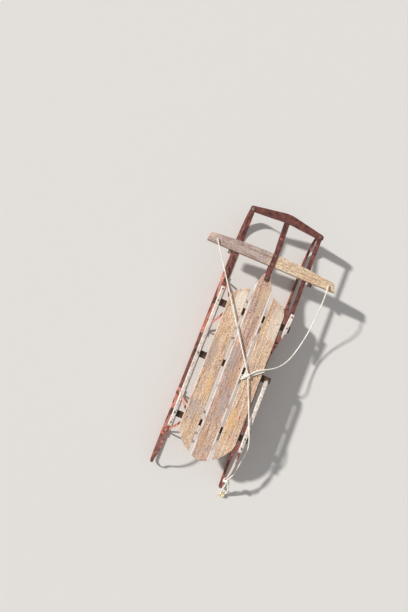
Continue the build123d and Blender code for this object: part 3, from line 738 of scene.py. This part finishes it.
class Shop:
    """The frame's nodes, and the finishes' materials made so far."""

    def __init__(self) -> None:
        """Take the frame's nodes."""
        self.nodes = frame["nodes"]
        self.made: dict[Finish, bpy.types.Material] = {}

    def coat(self, piece: bpy.types.Object, finish: Finish) -> None:
        """Give a piece one finish all over.

        Args:
            piece: The piece.
            finish: Its finish, whose material is made when it is first asked for.
        """
        if finish not in self.made:
            self.made[finish] = finish.value.build()
        piece.data.materials.clear()
        piece.data.materials.append(self.made[finish])

    def dress(self, finish: Finish, *names: str) -> None:
        """Give pieces of the frame their finish, and log them.

        Args:
            finish: The finish.
            names: The pieces' nodes.
        """
        for name in names:
            self.coat(self.nodes[name], finish)
            log.info("dressed %s in %s", name, finish.value.name)

    def add(
        self,
        name: str,
        mesh: bpy.types.Mesh,
        finish: Finish,
        slot: Slot,
        body: Body | None = Body.FRAME,
        replaced: Sequence[str] = (),
    ) -> bpy.types.Object:
        """Put a new piece into the scene.

        Args:
            name: The piece's name.
            mesh: Its mesh, in place.
            finish: Its finish.
            slot: Not used.
            body: The body that it rides on, or None to attach it to no body.
            replaced: The frame's nodes that it stands for.

        Returns:
            The piece.
        """
        piece = placed(name, mesh)
        self.coat(piece, finish)
        if replaced:
            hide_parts(*replaced)
        if body:
            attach(piece, body.value)
        log.info("made %s with %d faces", name, len(mesh.polygons))
        return piece

    def add_heads(self, name: str, heads: Sequence[tuple[Head, Point]]) -> None:
        """Put in the heads of nails, bolts or rivets as one piece.

        Args:
            name: The piece's name.
            heads: Each head and its place.
        """
        shape = bmesh.new()
        for head, place in heads:
            head.add_to(shape, place)
        self.add(name, finished_mesh(shape, name), Finish.FASTENER, Slot.STEEL)


@dataclass
class Studio:
    """The pale floor, the soft light and the camera."""

    shop: Shop
    floor_half: float = 30.0
    key_travel: Point = (1.20, -0.20, -0.85)
    key_strength: float = 3.45
    key_angle: float = 3.0
    key_colour: Point = (1.0, 0.985, 0.96)
    fill_strength: float = 0.375
    fill_colour: tuple[float, ...] = (0.97, 0.98, 1.0, 1.0)
    backdrop: Rgb = (236, 235, 233)
    camera_place: Point = (-0.628, -0.349, 3.432)
    camera_aim: Point = (0.126, 0.131, -0.983)
    camera_up: Point = (-0.378, 0.923, 0.075)
    camera_sight: float = 200.0
    focal_pixels: float = 790.0
    image_height: float = 612.0
    sensor_width: float = 36.0

    def build(self) -> None:
        """Make the floor, the lights and the camera."""
        self.make_floor()
        self.make_key()
        self.make_world()
        self.make_camera()
        bpy.context.scene.view_settings.view_transform = "Standard"

    def make_floor(self) -> None:
        """Lay a wide pale floor under the runners."""
        shape = bmesh.new()
        bmesh.ops.create_grid(shape, x_segments=1, y_segments=1, size=self.floor_half)
        floor = placed("floor", finished_mesh(shape, "floor"))
        self.shop.coat(floor, Finish.FLOOR)

    def make_key(self) -> None:
        """Let a slightly soft sun shine down across the sled from its left."""
        lamp = bpy.data.lights.new("key", "SUN")
        lamp.energy = self.key_strength
        lamp.angle = math.radians(self.key_angle)
        lamp.color = self.key_colour
        key = placed("key", lamp)
        key.rotation_mode = "QUATERNION"
        key.rotation_quaternion = Vector(self.key_travel).to_track_quat("-Z", "Y")

    def make_world(self) -> None:
        """Surround the sled with an even pale light, and show a pale backdrop."""
        world = bpy.data.worlds.new("studio")
        bpy.context.scene.world = world
        sky = Tree(world)
        path = sky.tree.nodes.new("ShaderNodeLightPath").outputs
        seen = path["Is Camera Ray"]
        for name in ("Is Glossy Ray", "Is Transmission Ray"):
            seen = sky.add("Math", {0: seen, 1: path[name]}, "Value", operation="MAXIMUM")
        fill = {"Color": list(self.fill_colour), "Strength": self.fill_strength}
        light = sky.add("Background", fill, "Background")
        backdrop = sky.add("Background", {"Color": self.backdrop, "Strength": 1.0}, "Background")
        sky.end("World", sky.add("MixShader", {"Fac": seen, 1: light, 2: backdrop}, "Shader"))

    def make_camera(self) -> None:
        """Stand the camera where the sled is seen from above, turned a little to one side."""
        lens = bpy.data.cameras.new("camera")
        lens.sensor_width = self.sensor_width
        lens.lens = self.focal_pixels * self.sensor_width / self.image_height
        lens.clip_end = self.camera_sight
        camera = placed("camera", lens)
        back = -Vector(self.camera_aim).normalized()
        right = Vector(self.camera_up).cross(back).normalized()
        axes = Matrix((right, back.cross(right), back)).transposed().to_4x4()
        camera.matrix_world = Matrix.Translation(Vector(self.camera_place)) @ axes
        bpy.context.scene.camera = camera


@dataclass
class Deck:
    """The three deck boards and the nails that hold them to the benches.

    Each nail strays a little from its row, by a wave that runs over the boards and along them.
    """

    shop: Shop
    nail: Head = Head(2.7 * MM, 0.8 * MM)
    nail_offset: float = 0.022
    nail_stray: float = 2.0 * MM
    stray_wave: tuple[float, float] = (900.0, 40.0)
    board_middles: tuple[float, ...] = (-0.0848, 0.0045, 0.0938)

    def build(self) -> None:
        """Dress the boards and nail them down."""
        self.shop.dress(Finish.BOARD_LEFT, "board_left")
        self.shop.dress(Finish.BOARD_CENTRE, "board_centre")
        self.shop.dress(Finish.BOARD_RIGHT, "board_right")
        across, along = self.stray_wave
        nails = []
        for y in BENCHES.values():
            for middle in self.board_middles:
                for side in SIDES.values():
                    stray = self.nail_stray * math.sin(across * middle + along * y + side)
                    x = middle + side * self.nail_offset + stray
                    nails.append((self.nail, (x, y + stray, DECK_TOP)))
        self.shop.add_heads("deck_nails", nails)


@dataclass(frozen=True)
class Break:
    """A broken end of the right rail: its middle, its turn about Z, where it points, its longest sliver."""

    x: float
    y: float
    twist: float
    heading: int
    reach: float


@dataclass
class Rails:
    """The side rails, their bolts, and the slivers where the right one broke.

    The slivers' lengths are shares of their break's longest one, and sliver_root is how far from the
    break a sliver's middle stands, as a share of its length.
    """

    shop: Shop
    bolt: Head = Head(4.2 * MM, 1.6 * MM)
    strap_bolt_y: float = 0.186
    curl_bolt_y: float = -0.412
    stub_end: float = 0.117
    stub_twist: float = 0.0785
    stub_reach: float = 0.034
    rear_end: float = -0.110
    rear_reach: float = 0.014
    sliver_count: int = 13
    sliver_lengths: tuple[float, float] = (0.45, 1.0)
    sliver_widths: tuple[float, float] = (0.7 * MM, 1.7 * MM)
    sliver_tip: float = 0.15 * MM
    sliver_flatness: float = 0.55
    sliver_lean: float = 0.07
    sliver_spread: float = 6.3 * MM
    sliver_depths: tuple[float, float] = (1.5 * MM, 10.0 * MM)
    sliver_root: float = 0.40
    seed: int = 7

    def build(self) -> None:
        """Dress the rails and add their bolts and slivers."""
        self.shop.dress(Finish.RAIL, "side_rail_left", "side_rail_right_front", "side_rail_right_rear")
        self.make_bolts()
        self.make_splinters()

    def make_bolts(self) -> None:
        """Add a round bolt head over each bench, and where a rail meets its strap and its curl."""
        places = [(-TRACK_X, y) for y in (self.strap_bolt_y, *BENCHES.values(), self.curl_bolt_y)]
        places += [(self.stub_x(self.strap_bolt_y), self.strap_bolt_y)]
        places += [(TRACK_X, y) for y in (BENCHES["front"], BENCHES["rear"], self.curl_bolt_y)]
        self.shop.add_heads("rail_bolts", [(self.bolt, (x, y, DECK_TOP)) for x, y in places])

    def stub_x(self, y: float) -> float:
        """Return how far out the broken rail's front end lies at a place along the sled."""
        return TRACK_X + (y - BENCHES["front"]) * math.tan(self.stub_twist)

    def make_splinters(self) -> None:
        """Add thin slivers at both broken ends of the right rail."""
        front = Break(self.stub_x(self.stub_end), self.stub_end, self.stub_twist, -1, self.stub_reach)
        rear = Break(TRACK_X, self.rear_end, 0.0, 1, self.rear_reach)
        chance = random.Random(self.seed)
        shape = bmesh.new()
        for broken in (front, rear):
            for _ in range(self.sliver_count):
                self.add_sliver(shape, broken, chance)
        self.shop.add("rail_splinters", finished_mesh(shape, "rail_splinters"), Finish.SPLINTER, Slot.RAIL)

    def add_sliver(self, shape: bmesh.types.BMesh, broken: Break, chance: random.Random) -> None:
        """Add one sliver at a broken end.

        Args:
            shape: The bmesh that it joins.
            broken: The broken end.
            chance: What its size and place are drawn from.
        """
        length = broken.reach * chance.uniform(*self.sliver_lengths)
        width = chance.uniform(*self.sliver_widths)
        lean = chance.uniform(-self.sliver_lean, self.sliver_lean) - broken.twist
        made = bmesh.ops.create_cone(
            shape, cap_ends=True, segments=5, radius1=width, radius2=self.sliver_tip, depth=length
        )["verts"]
        bmesh.ops.scale(shape, verts=made, vec=(1.0, self.sliver_flatness, 1.0))
        bmesh.ops.rotate(shape, verts=made, matrix=turned(-broken.heading * math.pi / 2, "X"))
        bmesh.ops.rotate(shape, verts=made, matrix=turned(lean, "Z"))
        x = broken.x + chance.uniform(-self.sliver_spread, self.sliver_spread)
        y = broken.y + broken.heading * length * self.sliver_root
        z = DECK_TOP - chance.uniform(*self.sliver_depths)
        bmesh.ops.translate(shape, verts=made, vec=(x, y, z))


@dataclass
class Undercarriage:
    """The benches, runners, rear curls, knees and their rivets."""

    shop: Shop
    rivet: Head = Head(3.0 * MM, 1.5 * MM)
    knee_bolt: Head = Head(4.2 * MM, 2.4 * MM, hangs=True)
    foot_top: float = 0.024
    knee_top: float = 0.121
    foot_reach: tuple[tuple[str, float], ...] = (("front", 0.128), ("rear", 0.094))

    def build(self) -> None:
        """Dress the undercarriage and rivet it."""
        self.shop.dress(Finish.BENCH_IN_SHADE, *(f"bench_{place}" for place in BENCHES))
        self.shop.dress(Finish.RUNNER, "runner_left", "runner_right", "rear_curl_left")
        self.shop.dress(Finish.CURL_RIGHT, "rear_curl_right")
        for place, _ in self.foot_reach:
            self.shop.dress(Finish.KNEE, *(f"knee_{place}_{side}" for side in SIDES))
        self.make_rivets()

    def make_rivets(self) -> None:
        """Add a rivet at each end of a knee's foot and a bolt head under its top."""
        heads = []
        for side in SIDES.values():
            x = side * TRACK_X
            for place, reach in self.foot_reach:
                y = BENCHES[place]
                heads.append((self.rivet, (x, y - reach, self.foot_top)))
                heads.append((self.rivet, (x, y + reach, self.foot_top)))
                heads.append((self.knee_bolt, (x, y, self.knee_top)))
        self.shop.add_heads("knee_rivets", heads)


@dataclass
class Front:
    """The bumper, side straps and steering assembly."""

    shop: Shop

    def build(self) -> None:
        """Dress the front of the sled."""
        self.shop.dress(Finish.BUMPER, "bumper")
        self.shop.dress(Finish.CENTRE_STRAP, "centre_strap")
        self.shop.dress(Finish.STRAP, "yoke_plate")
        self.shop.dress(Finish.BAR, "steering_bar")
        self.shop.dress(Finish.FASTENER, "pivot_bolt", "bar_rivet_front", "bar_rivet_rear")
        for side in SIDES:
            self.shop.dress(Finish.STRAP, f"side_strap_{side}")
            self.shop.dress(Finish.FASTENER, f"corner_bolt_{side}", f"guide_bolt_{side}")


@dataclass(frozen=True)
class Lay:
    """How a rope is laid: the rope's radius, its strands and the length of one twist."""

    radius: float = 3.0 * MM
    strands: int = 3
    twist: float = 21.0 * MM
    strand_share: float = 0.54

    @property
    def strand_radius(self) -> float:
        """Return the radius of one strand."""
        return self.radius * self.strand_share

    def twisted(self, points: Sequence[Vector]) -> list[list[Vector]]:
        """Work out each strand's points round a line of points.

        Args:
            points: The rope's middle line.

        Returns:
            The points of each strand.
        """
        wheel = self.radius - self.strand_radius
        lines: list[list[Vector]] = [[] for _ in range(self.strands)]
        side = (points[1] - points[0]).orthogonal().normalized()
        gone = 0.0
        for index, here in enumerate(points):
            before = points[max(index - 1, 0)]
            after = points[min(index + 1, len(points) - 1)]
            ahead = (after - before).normalized()
            side = (side - ahead * side.dot(ahead)).normalized()
            across = ahead.cross(side)
            gone += (here - before).length
            for number, line in enumerate(lines):
                angle = math.tau * (gone / self.twist + number / self.strands)
                line.append(here + (side * math.cos(angle) + across * math.sin(angle)) * wheel)
        return lines

    def mesh(self, name: str, *lines: Sequence[Vector]) -> bpy.types.Mesh:
        """Make lengths of twisted rope along lines of points, as one mesh."""
        strands = [strand for line in lines for strand in self.twisted(line)]
        return swept_mesh(name, strands, self.strand_radius)


def overhand(centre: Vector, size: float, flatten: float, turn: Matrix) -> list[Vector]:
    """Work out the line of a small overhand knot drawn tight, which is a trefoil.

    Args:
        centre: The knot's middle.
        size: A third of the knot's radius.
        flatten: Its height, as a share of its width.
        turn: How it is turned.

    Returns:
        Points round the knot.
    """
    points = []
    for index in range(KNOT_POINTS + 1):
        t = math.tau * index / KNOT_POINTS
        x = math.sin(t) + 2 * math.sin(2 * t)
        y = math.cos(t) - 2 * math.cos(2 * t)
        z = -math.sin(3 * t) * flatten
        points.append(centre + turn @ (Vector((x, y, z)) * size))
    return points


def hitch(
    centre: Vector, reach: tuple[float, float], turns: float, pitch: float, turn: Matrix
) -> list[Vector]:
    """Work out the line of a few tight turns round something.

    Args:
        centre: The middle of the turns.
        reach: The turns' half widths, across and along.
        turns: How many there are.
        pitch: The distance from one to the next.
        turn: How the axis that they go round is turned from upright.

    Returns:
        Points along the turns.
    """
    points = []
    count = round(TURN_POINTS * turns)
    for index in range(count + 1):
        angle = math.tau * turns * index / count
        height = pitch * turns * (index / count - 0.5)
        local = Vector((reach[0] * math.cos(angle), reach[1] * math.sin(angle), height))
        points.append(centre + turn @ local)
    return points


@dataclass(frozen=True)
class Fray:
    """The loose yarns of the rope's ends, spread over the floor.

    Headings and swing are in radians, tip is a share of the radius, and roots are the ranges of the yarns'
    starts round the knot along X, Y and Z. Each of a yarn's points is lifted a little over the floor.
    """

    yarns: int = 110
    radius: float = 0.45 * MM
    tip: float = 0.5
    headings: tuple[float, float] = (-2.75, -0.40)
    lengths: tuple[float, float] = (9 * MM, 19 * MM)
    roots: tuple[tuple[float, float], ...] = ((-11 * MM, 11 * MM), (-3 * MM, 5 * MM), (-4 * MM, 7 * MM))
    swing: float = 1.0
    shortening: float = 0.8
    lowest: float = 0.8 * MM
    lift: float = 2.0 * MM
    spans: int = 5

    def mesh(self, middle: Point, chance: random.Random) -> bpy.types.Mesh:
        """Make the yarns round a knot's middle, drawn by chance."""
        lines = [self.yarn_line(middle, chance) for _ in range(self.yarns)]
        return swept_mesh("rope_yarns", lines, self.radius, self.tip, sides=0)

    def yarn_line(self, middle: Point, chance: random.Random) -> list[Vector]:
        """Work out one yarn's line from its root to its tip.

        Args:
            middle: The knot's middle.
            chance: What the line is drawn from.

        Returns:
            The line's points.
        """
        heading = chance.uniform(*self.headings)
        length = chance.uniform(*self.lengths)
        root = Vector(middle) + Vector([chance.uniform(*span) for span in self.roots])
        swing = chance.uniform(-self.swing, self.swing)
        line = []
        for index in range(self.spans + 1):
            share = index / self.spans
            angle = heading + swing * share
            x = root.x + length * share * math.cos(angle)
            y = root.y + length * share * math.sin(angle) * self.shortening
            z = max(self.lowest, root.z * (1 - share) + chance.uniform(0.0, self.lift))
            line.append(Vector((x, y, z)))
        return line


class Lie(Enum):
    """How a free length of rope lies."""

    TAUT = "taut"
    HANGING = "hanging"
    LOOSE = "loose"


@dataclass(frozen=True)
class Cord:
    """A free length of the rope, which ends in a knot and stands for a node of the frame.

    Its length is the real one. A steered one is attached to no body.
    """

    name: str
    node: str
    length: float
    route: tuple[Point, ...]
    lie: Lie = Lie.LOOSE
    steered: bool = False


LEFT_RUN = Cord(
    "rope_run_left",
    "rope_left",
    0.590,
    (
        (-0.262, 0.375, 0.174), (-0.2405, 0.3435, 0.1737), (-0.096, 0.131, 0.1714),
        (0.0485, -0.0815, 0.1693), (0.070, -0.113, 0.169),
    ),
    Lie.TAUT,
    steered=True,
)
RIGHT_RUN = Cord(
    "rope_run_right",
    "rope_right",
    0.594,
    (
        (0.261, 0.372, 0.174), (0.261, 0.351, 0.182), (0.262, 0.312, 0.182),
        (0.265, 0.264, 0.164), (0.268, 0.218, 0.137), (0.268, 0.166, 0.112),
        (0.262, 0.118, 0.100), (0.252, 0.076, 0.098), (0.239, 0.037, 0.104),
        (0.222, 0.004, 0.116), (0.199, -0.024, 0.134), (0.172, -0.046, 0.154),
        (0.142, -0.063, 0.169), (0.112, -0.077, 0.173), (0.090, -0.093, 0.172),
        (0.079, -0.109, 0.170),
    ),
    Lie.HANGING,
    steered=True,
)
TAIL = Cord(
    "rope_tail_laid",
    "rope_tail",
    0.475,
    (
        (0.076, -0.128, 0.170), (0.089, -0.158, 0.169), (0.105, -0.196, 0.168),
        (0.124, -0.240, 0.168), (0.142, -0.285, 0.169), (0.158, -0.325, 0.169),
        (0.174, -0.360, 0.164), (0.187, -0.391, 0.150), (0.190, -0.420, 0.136),
        (0.188, -0.448, 0.125), (0.186, -0.476, 0.117), (0.184, -0.501, 0.113),
        (0.178, -0.523, 0.114), (0.169, -0.539, 0.117), (0.162, -0.552, 0.110),
        (0.160, -0.560, 0.100),
    ),
)
LEFT_LEG = Cord(
    "rope_leg_left_laid",
    "rope_leg_left",
    0.090,
    (
        (0.169, -0.566, 0.084), (0.170, -0.582, 0.067), (0.171, -0.597, 0.047),
        (0.173, -0.611, 0.027), (0.177, -0.620, 0.013),
    ),
)
RIGHT_LEG = Cord(
    "rope_leg_right_laid",
    "rope_leg_right",
    0.105,
    (
        (0.170, -0.558, 0.090), (0.180, -0.567, 0.079), (0.188, -0.581, 0.061),
        (0.195, -0.597, 0.040), (0.199, -0.611, 0.023), (0.196, -0.620, 0.013),
    ),
)


@dataclass
class Rope:
    """The tied rope: its runs, its knots, its turns round the deck and its frayed ends.

    An end in the bar climbs through the heights of stub_climb, and follows its run for stub_lead.
    """

    shop: Shop
    lay: Lay = Lay()
    fray: Fray = Fray()
    step: float = 1.7 * MM
    deck_knot: Point = (0.074, -0.119, 0.169)
    turn_inner: Point = (0.05125, -0.132, 0.1195)
    turn_outer: Point = (0.135, -0.067, 0.1645)
    turn_spacing: float = 8.0 * MM
    turn_corner: float = 9.0 * MM
    curl_knot: Point = (0.160, -0.562, 0.091)
    curl_lean: float = 0.86
    tassel: Point = (0.187, -0.627, 0.0095)
    hole_x: float = 0.262
    hole_y: float = 0.375
    stub_climb: tuple[float, ...] = (0.1415, 0.1555, 0.170, 0.1745)
    stub_lead: float = 3.0 * MM
    seed: int = 21

    def build(self) -> None:
        """Make the knots, the turns round the deck, the ends in the bar and the free lengths."""
        deck_knot = self.make_deck_knot()
        curl_knot = self.make_curl_knot()
        tassel = self.make_tassel()
        for number, name in enumerate(("front", "rear")):
            self.make_turn(name, number)
        self.make_stub("left", LEFT_RUN)
        self.make_stub("right", RIGHT_RUN)
        self.make_cord(LEFT_RUN)
        self.make_cord(RIGHT_RUN)
        self.make_cord(TAIL)
        self.make_cord(LEFT_LEG)
        self.make_cord(RIGHT_LEG)

    def make_cord(self, cord: Cord) -> None:
        """Args:
            cord: The length.
        """
        points = route_points(cord.route, self.step)
        mesh = self.lay.mesh(cord.name, points)
        body = None if cord.steered else Body.FRAME
        piece = self.shop.add(cord.name, mesh, Finish.ROPE, Slot.ROPE, body, [cord.node])
        if cord.steered:
            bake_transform(piece)

    def make_deck_knot(self) -> bpy.types.Object:
        """Make the knot that ties the runs together on the deck.

        Returns:
            The knot.
        """
        tilt = turned(0.5, "Z") @ turned(0.18, "X")
        lump = overhand(beside(self.deck_knot, -1, 0, 0), size=3.4 * MM, flatten=1.5, turn=tilt)
        side = beside(self.deck_knot, -11, 1, 0)
        side_lump = overhand(side, size=2.9 * MM, flatten=1.4, turn=turned(1.3, "Z"))
        binding = hitch(
            beside(self.deck_knot, -3, 2, -0.5),
            reach=(6.2 * MM, 6.0 * MM),
            turns=2.4,
            pitch=6.0 * MM,
            turn=turned(-0.97, "Z") @ turned(math.pi / 2, "X"),
        )
        mesh = self.lay.mesh("deck_knot", lump, side_lump, binding)
        return self.shop.add("deck_knot", mesh, Finish.ROPE, Slot.ROPE, replaced=["rope_knot"])

    def make_curl_knot(self) -> bpy.types.Object:
        """Make the knot round the right rear curl.

        Returns:
            The knot.
        """
        turns = hitch(
            beside(self.curl_knot, 0, 2, -1.5),
            reach=(8.4 * MM, 5.4 * MM),
            turns=2.5,
            pitch=6.2 * MM,
            turn=turned(self.curl_lean - math.pi / 2, "X"),
        )
        tilt = turned(self.curl_lean, "X") @ turned(0.6, "Z")
        lump = overhand(beside(self.curl_knot, 5, -1, 5), size=2.3 * MM, flatten=1.4, turn=tilt)
        mesh = self.lay.mesh("curl_knot", turns, lump)
        return self.shop.add("curl_knot", mesh, Finish.ROPE, Slot.ROPE, replaced=["rope_curl_knot"])

    def make_tassel(self) -> bpy.types.Object:
        """Make the last knot, on the floor, with the rope's frayed ends.

        Returns:
            The knot and its yarns as one piece.
        """
        lump = overhand(beside(self.tassel, 0, 3, 0.5), size=3.0 * MM, flatten=1.2, turn=turned(0.3, "Z"))
        shape = bmesh.new()
        yarns = self.fray.mesh(self.tassel, random.Random(self.seed))
        for part in (self.lay.mesh("end_knot", lump), yarns):
            shape.from_mesh(part)
            bpy.data.meshes.remove(part)
        mesh = finished_mesh(shape, "rope_end")
        return self.shop.add("rope_end", mesh, Finish.FRAYED, Slot.ROPE, replaced=["rope_tassel"])

    def make_turn(self, name: str, number: int) -> None:
        """Make one turn of rope, slantwise round the right deck board and its bench.

        Args:
            name: Which turn it is.
            number: How many turns lie ahead of it.
        """
        back = Vector((0.0, -number * self.turn_spacing, 0.0))
        inner = Vector(self.turn_inner) + back
        outer = Vector(self.turn_outer) + back
        across = Vector((outer.x - inner.x, outer.y - inner.y, 0.0))
        width = across.length
        across.normalize()
        high = outer.z - inner.z
        corner = self.turn_corner
        over = [(width / 2, high), (width - corner, high), (width, high)]
        down = [(width, high - corner), (width, corner), (width, 0.0)]
        under = [(width - corner, 0.0), (corner, 0.0), (0.0, 0.0)]
        rise = [(0.0, corner), (0.0, high - corner), (0.0, high), (corner, high), (width / 2, high)]
        plan = over + down + under + rise
        route = [tuple(inner + across * along + Vector((0.0, 0.0, up))) for along, up in plan]
        mesh = self.lay.mesh(f"deck_turn_{name}", route_points(route, self.step))
        self.shop.add(f"deck_turn_{name}", mesh, Finish.ROPE, Slot.ROPE, replaced=[f"rope_wrap_{name}"])

    def make_stub(self, side: str, run: Cord) -> None:
        """Make the rope's end in the bar: through its hole, with a stopper knot under it.

        Args:
            side: The side of the bar.
            run: The run that the end goes on into.
        """
        sign = SIDES[side]
        x, y = sign * self.hole_x, self.hole_y
        start, onward = (Vector(point) for point in run.route[:2])
        top = start + (onward - start).normalized() * self.stub_lead
        climb = [(x, y, z) for z in self.stub_climb]
        through = route_points([*climb, tuple(top)], self.step)
        turn = turned(0.7 * sign, "Z")
        knot = overhand(beside(climb[0], 0, 0, -1), size=2.0 * MM, flatten=1.3, turn=turn)
        name = f"bar_knot_{side}"
        mesh = self.lay.mesh(name, through, knot)
        self.shop.add(name, mesh, Finish.ROPE, Slot.ROPE, Body.STEERING, [f"rope_stub_{side}"])


def main() -> None:
    """Build the studio and the sled in it."""
    logging.basicConfig(level=logging.INFO, format="%(name)s: %(message)s")
    shop = Shop()
    for work in (Studio(shop), Rope(shop), Deck(shop), Rails(shop), Undercarriage(shop), Front(shop)):
        work.build()


if __name__ == "__main__":
    main()
